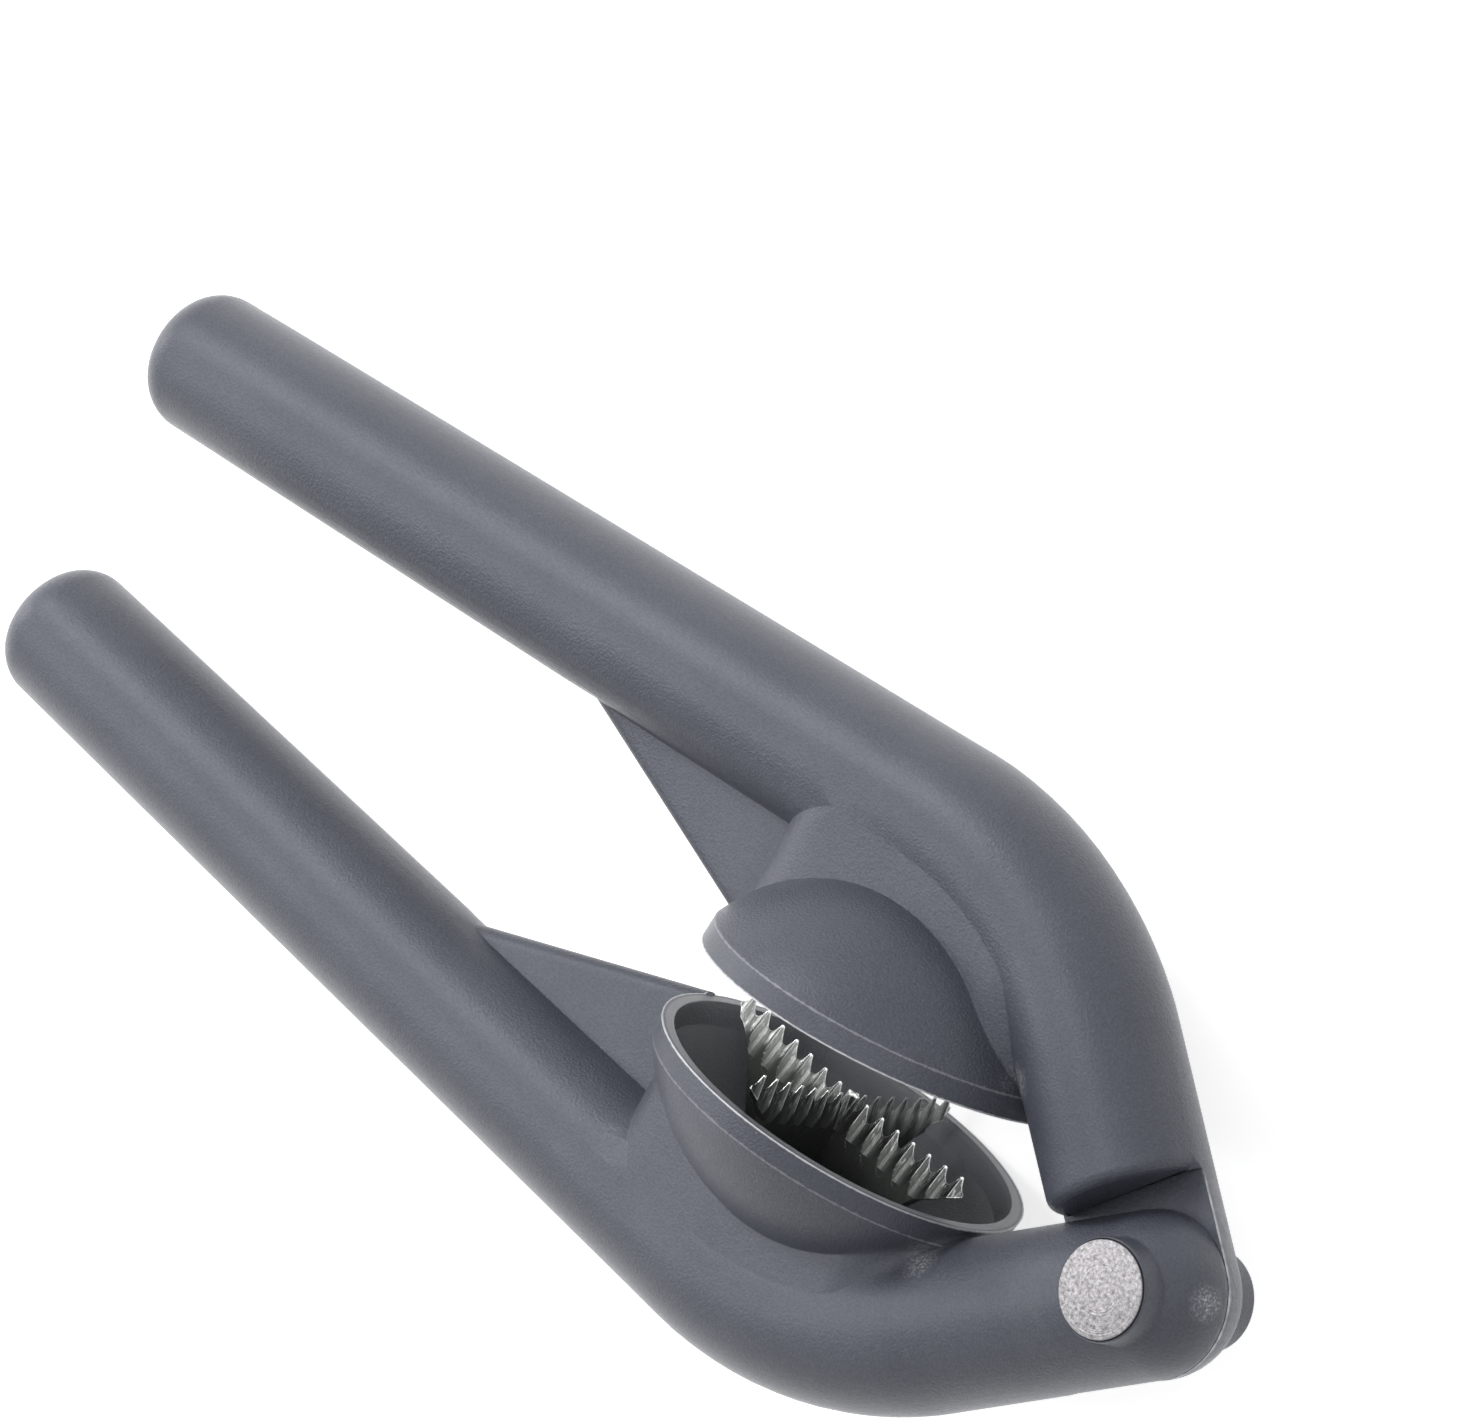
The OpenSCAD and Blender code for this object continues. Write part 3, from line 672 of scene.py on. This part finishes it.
def blade_material(name, plate_to_world, hinge_half_shade):
    """Ground steel with fine strokes down the plate, darker and less metallic towards the foot, and
    with painted shade on the half towards the hinge.
    """
    mat = bpy.data.materials.new(name)
    mat.use_nodes = True
    nodes, links = mat.node_tree.nodes, mat.node_tree.links
    shader = nodes["Principled BSDF"]
    place = nodes.new("ShaderNodeTexCoord")
    to_plate = own_place(nodes, links, place, plate_to_world)
    stretch = nodes.new("ShaderNodeMapping")
    stretch.inputs["Scale"].default_value = (3, 3, 0.35)
    links.new(to_plate.outputs[0], stretch.inputs["Vector"])
    stroke = nodes.new("ShaderNodeTexNoise")
    stroke.inputs["Scale"].default_value = 1.5
    stroke.inputs["Detail"].default_value = 4
    links.new(stretch.outputs[0], stroke.inputs["Vector"])
    split = nodes.new("ShaderNodeSeparateXYZ")
    links.new(to_plate.outputs[0], split.inputs[0])
    # darker and less metallic towards the foot
    towards_foot = nodes.new("ShaderNodeMapRange")
    towards_foot.inputs["From Min"].default_value = -0.8
    towards_foot.inputs["From Max"].default_value = 1.6
    links.new(split.outputs["Z"], towards_foot.inputs["Value"])
    clean = nodes.new("ShaderNodeMix")
    clean.data_type = "RGBA"
    clean.inputs["A"].default_value = (0.1, 0.105, 0.1, 1)
    clean.inputs["B"].default_value = (0.25, 0.255, 0.25, 1)
    links.new(stroke.outputs["Fac"], clean.inputs["Factor"])
    shade = nodes.new("ShaderNodeMix")
    shade.data_type = "RGBA"
    shade.inputs["B"].default_value = (0.07, 0.075, 0.07, 1)
    links.new(towards_foot.outputs[0], shade.inputs["Factor"])
    # painted shade: the half towards the hinge is painted darker than the other, for the light that
    # does not reach it
    share = nodes.new("ShaderNodeMapRange")
    share.inputs["From Min"].default_value = -1
    share.inputs["From Max"].default_value = 4
    share.inputs["To Min"].default_value = hinge_half_shade
    share.inputs["To Max"].default_value = 0.9
    links.new(split.outputs["X"], share.inputs["Value"])
    hinge_shaded = nodes.new("ShaderNodeVectorMath")
    hinge_shaded.operation = "SCALE"
    links.new(clean.outputs["Result"], hinge_shaded.inputs[0])
    links.new(share.outputs[0], hinge_shaded.inputs["Scale"])
    links.new(hinge_shaded.outputs[0], shade.inputs["A"])

    # the ground edges are bright: where the softened normal leaves the face's own
    soft = nodes.new("ShaderNodeBevel")
    soft.samples = 6
    soft.inputs["Radius"].default_value = 0.00016
    surface = nodes.new("ShaderNodeNewGeometry")
    same = nodes.new("ShaderNodeVectorMath")
    same.operation = "DOT_PRODUCT"
    links.new(soft.outputs[0], same.inputs[0])
    links.new(surface.outputs["Normal"], same.inputs[1])
    edge = nodes.new("ShaderNodeMapRange")
    edge.inputs["From Min"].default_value = 0.995
    edge.inputs["From Max"].default_value = 0.93
    links.new(same.outputs["Value"], edge.inputs["Value"])

    # and so are the small flats left on the tips
    along = nodes.new("ShaderNodeMath")
    along.operation = "POWER"
    along.inputs[1].default_value = 2
    links.new(split.outputs["X"], along.inputs[0])
    below = nodes.new("ShaderNodeMath")
    below.operation = "MULTIPLY_ADD"
    below.inputs[1].default_value = TIPS_SAG / HALF ** 2
    links.new(along.outputs[0], below.inputs[0])
    links.new(split.outputs["Z"], below.inputs[2])
    tip = nodes.new("ShaderNodeMapRange")
    tip.inputs["From Min"].default_value = -1.95
    tip.inputs["From Max"].default_value = -2.2
    links.new(below.outputs[0], tip.inputs["Value"])

    # the lower edges are dull again
    upper = nodes.new("ShaderNodeMapRange")
    upper.inputs["From Min"].default_value = 0.6
    upper.inputs["From Max"].default_value = -0.6
    links.new(split.outputs["Z"], upper.inputs["Value"])
    streak = nodes.new("ShaderNodeMapRange")
    streak.inputs["From Min"].default_value = 0.56
    streak.inputs["From Max"].default_value = 0.66
    streak.inputs["To Max"].default_value = 0.2
    links.new(stroke.outputs["Fac"], streak.inputs["Value"])
    drawn = nodes.new("ShaderNodeMath")
    drawn.operation = "MULTIPLY_ADD"
    drawn.inputs[1].default_value = 0.5
    links.new(edge.outputs[0], drawn.inputs[0])
    links.new(streak.outputs[0], drawn.inputs[2])
    keen = nodes.new("ShaderNodeMath")
    keen.operation = "MULTIPLY"
    links.new(drawn.outputs[0], keen.inputs[0])
    links.new(upper.outputs[0], keen.inputs[1])
    bright = nodes.new("ShaderNodeMath")
    bright.operation = "MAXIMUM"
    links.new(keen.outputs[0], bright.inputs[0])
    links.new(tip.outputs[0], bright.inputs[1])
    honed = nodes.new("ShaderNodeMix")
    honed.data_type = "RGBA"
    honed.inputs["B"].default_value = (0.9, 0.91, 0.9, 1)
    links.new(bright.outputs[0], honed.inputs["Factor"])
    links.new(shade.outputs["Result"], honed.inputs["A"])
    links.new(honed.outputs["Result"], shader.inputs["Base Color"])
    metal = nodes.new("ShaderNodeMapRange")
    metal.inputs["To Min"].default_value = 1
    metal.inputs["To Max"].default_value = 0.35
    links.new(towards_foot.outputs[0], metal.inputs["Value"])
    links.new(metal.outputs[0], shader.inputs["Metallic"])
    rough = nodes.new("ShaderNodeMapRange")
    rough.inputs["To Min"].default_value = 0.2
    rough.inputs["To Max"].default_value = 0.42
    links.new(stroke.outputs["Fac"], rough.inputs["Value"])
    links.new(rough.outputs[0], shader.inputs["Roughness"])
    bump = nodes.new("ShaderNodeBump")
    bump.inputs["Strength"].default_value = 0.3
    bump.inputs["Distance"].default_value = 0.00004
    links.new(stroke.outputs["Fac"], bump.inputs["Height"])
    links.new(bump.outputs["Normal"], shader.inputs["Normal"])
    return mat


long_place = lay_down @ cup_place
blade_long = toothed_plate("blade_long_plate", "blade_long", long_place)
blade_long.data.materials.append(blade_material("blade_long_steel", long_place, 0.35))
cross_place = long_place @ Matrix.Rotation(math.radians(90), 4, "Z")
blade_cross = toothed_plate("blade_cross_plate", "blade_cross", cross_place)
blade_cross.data.materials.append(blade_material("blade_cross_steel", cross_place, 0.5))

# The floor, the backdrop and the lamps
# A plain pale floor under soft studio light, with nothing else in view. The background is
# white by its own colour, and the tool keeps its shadow on the floor.
def background_rays(nodes, links):
    """One for the rays that show the background: camera, glossy and transmission rays."""
    path = nodes.new("ShaderNodeLightPath")
    mirrored = nodes.new("ShaderNodeMath")
    links.new(path.outputs["Is Glossy Ray"], mirrored.inputs[0])
    links.new(path.outputs["Is Transmission Ray"], mirrored.inputs[1])
    seen = nodes.new("ShaderNodeMath")
    seen.use_clamp = True
    links.new(path.outputs["Is Camera Ray"], seen.inputs[0])
    links.new(mirrored.outputs[0], seen.inputs[1])
    return seen


FLOOR_SIZE = 3
FLOOR_DROP = 0.0004
floor_mesh = bpy.data.meshes.new("floor")
made = bmesh.new()
bmesh.ops.create_grid(made, x_segments=1, y_segments=1, size=FLOOR_SIZE)
bmesh.ops.translate(made, verts=made.verts, vec=(0, 0, -FLOOR_DROP))
made.to_mesh(floor_mesh)
made.free()
floor = bpy.data.objects.new("floor", floor_mesh)
bpy.context.scene.collection.objects.link(floor)
pale = bpy.data.materials.new("pale_floor")
pale.use_nodes = True
nodes, links = pale.node_tree.nodes, pale.node_tree.links
shader = nodes["Principled BSDF"]
shader.inputs["Roughness"].default_value = 0.9
seen = background_rays(nodes, links)
tone = nodes.new("ShaderNodeMix")
tone.data_type = "RGBA"
tone.inputs["A"].default_value = (0.72, 0.72, 0.73, 1)
tone.inputs["B"].default_value = (0.88, 0.88, 0.88, 1)
links.new(seen.outputs[0], tone.inputs["Factor"])
links.new(tone.outputs["Result"], shader.inputs["Base Color"])
lift = nodes.new("ShaderNodeMath")
lift.operation = "MULTIPLY"
lift.inputs[1].default_value = 0.7
links.new(seen.outputs[0], lift.inputs[0])
shader.inputs["Emission Color"].default_value = (1, 1, 1, 1)
links.new(lift.outputs[0], shader.inputs["Emission Strength"])
floor.data.materials.append(pale)

sky = bpy.data.worlds.new("studio")
sky.use_nodes = True
bpy.context.scene.world = sky
back = sky.node_tree.nodes["Background"]
back.inputs["Color"].default_value = (1, 1, 1, 1)
nodes, links = sky.node_tree.nodes, sky.node_tree.links
seen = background_rays(nodes, links)
level = nodes.new("ShaderNodeMix")
level.inputs["A"].default_value = 0.31
level.inputs["B"].default_value = 1.0
links.new(seen.outputs[0], level.inputs["Factor"])
links.new(level.outputs["Result"], back.inputs["Strength"])


def lamp(name, place, aim, size, watts):
    """A square soft box at a place, turned to a point on the tool."""
    data = bpy.data.lights.new(name, "AREA")
    data.shape = "SQUARE"
    data.size = size
    data.energy = watts
    obj = bpy.data.objects.new(name, data)
    obj.location = place
    obj.rotation_euler = (Vector(aim) - Vector(place)).to_track_quat("-Z", "Y").to_euler()
    bpy.context.scene.collection.objects.link(obj)


lamp("key", (0.75, -0.52, 0.78), (0, 0, 0), 0.34, 7.0)
lamp("side", (-0.1, -1.0, 0.3), (0, 0, 0.02), 0.7, 0.45)
lamp("front", (-0.62, -0.22, 1.04), (0, 0, 0.02), 0.5, 2.0)
lamp("above", (0.15, -0.2, 1.2), (0, 0, 0.02), 0.34, 2.8)
lamp("top", (0.37, 0.16, 0.43), (0.04, 0, 0.02), 0.22, 0.85)
lamp("end", (1.1, 0.05, 0.28), (-0.03, 0, 0.02), 0.25, 3)

# The camera
# It stands where the photograph was taken from, far off with a long lens. It looks down on the
# tool a little from the hinge end.
eye = bpy.data.cameras.new("camera")
eye.sensor_width = 36
eye.lens = 294.674
eye.clip_end = 20
camera = bpy.data.objects.new("camera", eye)
camera.location = (-0.5516655, -0.3163966, 1.0780116)
camera.rotation_euler = [math.radians(angle) for angle in (2.056249, 30.499049, -147.870662)]
bpy.context.scene.collection.objects.link(camera)
bpy.context.scene.camera = camera

bpy.context.scene.view_settings.view_transform = "Standard"
